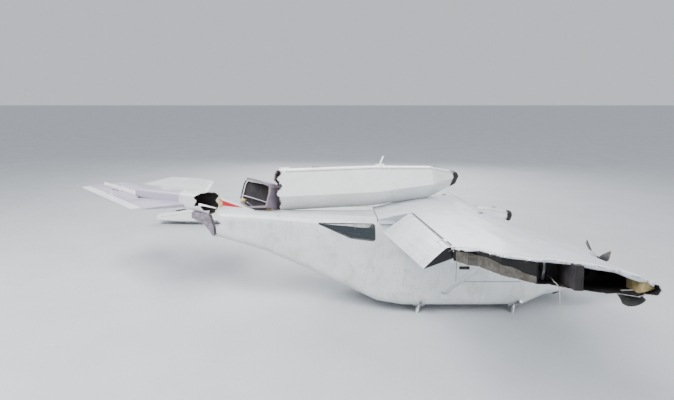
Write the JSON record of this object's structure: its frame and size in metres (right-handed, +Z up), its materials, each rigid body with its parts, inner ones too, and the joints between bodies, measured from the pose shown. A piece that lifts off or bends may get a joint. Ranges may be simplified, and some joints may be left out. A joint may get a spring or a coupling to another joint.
{
  "type": "wrecked two-seat floatplane",
  "caption": "High-wing two-seat floatplane wreck with a torn wing, drooped flap, broken tail and torn-off floats, lying on its belly.",
  "frame": {"origin": "on the floor under the middle of the whole wreck's box", "axes": "+X towards the nose, +Y to port, +Z up"},
  "size_m": [7.2004, 8.069, 1.7459],
  "materials": {
    "white_skin": "white painted glass-fibre laminate, semi-gloss",
    "mauve_skin": "pale mauve-grey painted laminate",
    "float_gelcoat": "bright white gelcoat",
    "clear_glazing": "tinted acrylic glazing",
    "engine_metal": "plain dark block",
    "exhaust_steel": "heat-stained steel tube",
    "blade_composite": "black carbon composite, snapped",
    "seat_cloth": "dark woven seat cloth",
    "black_plastic": "matt black",
    "bare_aluminium": "bare aluminium alloy",
    "steel_cable": "stranded steel cable",
    "torn_laminate": "torn laminate, mauve-grey with dark edges"
  },
  "bodies": {
    "root": {"cabin_shell": "white_skin", "windscreen": "clear_glazing", "wing_centre": "white_skin", "rear_fuselage": "white_skin", "rear_window_right": "clear_glazing", "rear_window_left": "clear_glazing", "cowling": "white_skin", "engine_block": "engine_metal", "exhaust_pipe": "exhaust_steel", "seat_right": "seat_cloth", "seat_left": "seat_cloth", "instrument_panel": "black_plastic", "control_stick": "black_plastic", "wing_left": "white_skin", "wing_right": "white_skin", "wing_right_frame": "bare_aluminium", "aileron_cable": "steel_cable", "lift_strut_right": "white_skin", "lift_strut_left": "white_skin", "float_strut_front": "bare_aluminium", "float_strut_rear": "bare_aluminium", "tail_cone": "white_skin", "torn_skin": "torn_laminate", "fin": "white_skin", "stabiliser": "mauve_skin", "float_right": "float_gelcoat", "float_left_bow": "float_gelcoat", "float_left_stern": "float_gelcoat", "float_left_middle": "torn_laminate"},
    "propeller": {"propeller": "blade_composite", "spinner": "white_skin"},
    "flap_right": {"flap_right": "white_skin"},
    "flap_left": {"flap_left": "white_skin"},
    "aileron_left": {"aileron_left": "white_skin"},
    "rudder": {"rudder": "white_skin"},
    "trim_tab": {"trim_tab": "mauve_skin"},
    "door_right": {"door_right": "white_skin", "door_window_right": "clear_glazing"},
    "door_left": {"door_left": "white_skin", "door_window_left": "clear_glazing"},
    "water_rudder": {"water_rudder_right": "bare_aluminium"}
  },
  "joints": [
    {"name": "propeller_spin", "type": "hinge", "parent": "root", "child": "propeller", "pos_m": [3.42788, -0.46291, 0.46952], "axis": [1, 0, 0], "continuous": true},
    {"name": "flap_right_hinge", "type": "hinge", "parent": "root", "child": "flap_right", "pos_m": [0.97988, -0.94783, 1.16973], "axis": [0, 0.9936, -0.1132], "range_deg": [-10, 25]},
    {"name": "flap_left_hinge", "type": "hinge", "parent": "root", "child": "flap_left", "pos_m": [0.97988, 0.14671, 1.06434], "axis": [0, 0.9969, -0.0785], "range_deg": [-10, 25]},
    {"name": "aileron_left_hinge", "type": "hinge", "parent": "root", "child": "aileron_left", "pos_m": [0.97988, 0.14671, 1.06434], "axis": [0, 0.9969, -0.0785], "range_deg": [-15, 22]},
    {"name": "rudder_hinge", "type": "hinge", "parent": "root", "child": "rudder", "pos_m": [-2.15444, 0.37012, 1.34537], "axis": [0.1117, 0.9922, -0.0557], "range_deg": [-25, 25]},
    {"name": "trim_tab_hinge", "type": "hinge", "parent": "root", "child": "trim_tab", "pos_m": [-2.89327, -0.01175, 1.22174], "axis": [-0.6798, 0.7333, 0.01], "range_deg": [-15, 15]},
    {"name": "door_right_hinge", "type": "hinge", "parent": "root", "child": "door_right", "pos_m": [2.01588, -0.97241, 1.02089], "axis": [-1, 0, 0], "range_deg": [0, 78]},
    {"name": "door_left_hinge", "type": "hinge", "parent": "root", "child": "door_left", "pos_m": [2.01588, 0.14244, 0.91354], "axis": [1, 0, 0], "range_deg": [0, 78]},
    {"name": "water_rudder_hinge", "type": "hinge", "parent": "root", "child": "water_rudder", "pos_m": [-1.43867, 2.96247, 0.307], "axis": [0.0233, 0.3336, 0.9424], "range_deg": [-30, 30]}
  ],
  "couplings": [
    {"joint": "flap_left_hinge", "follows": "flap_right_hinge", "ratio": 1}
  ]
}
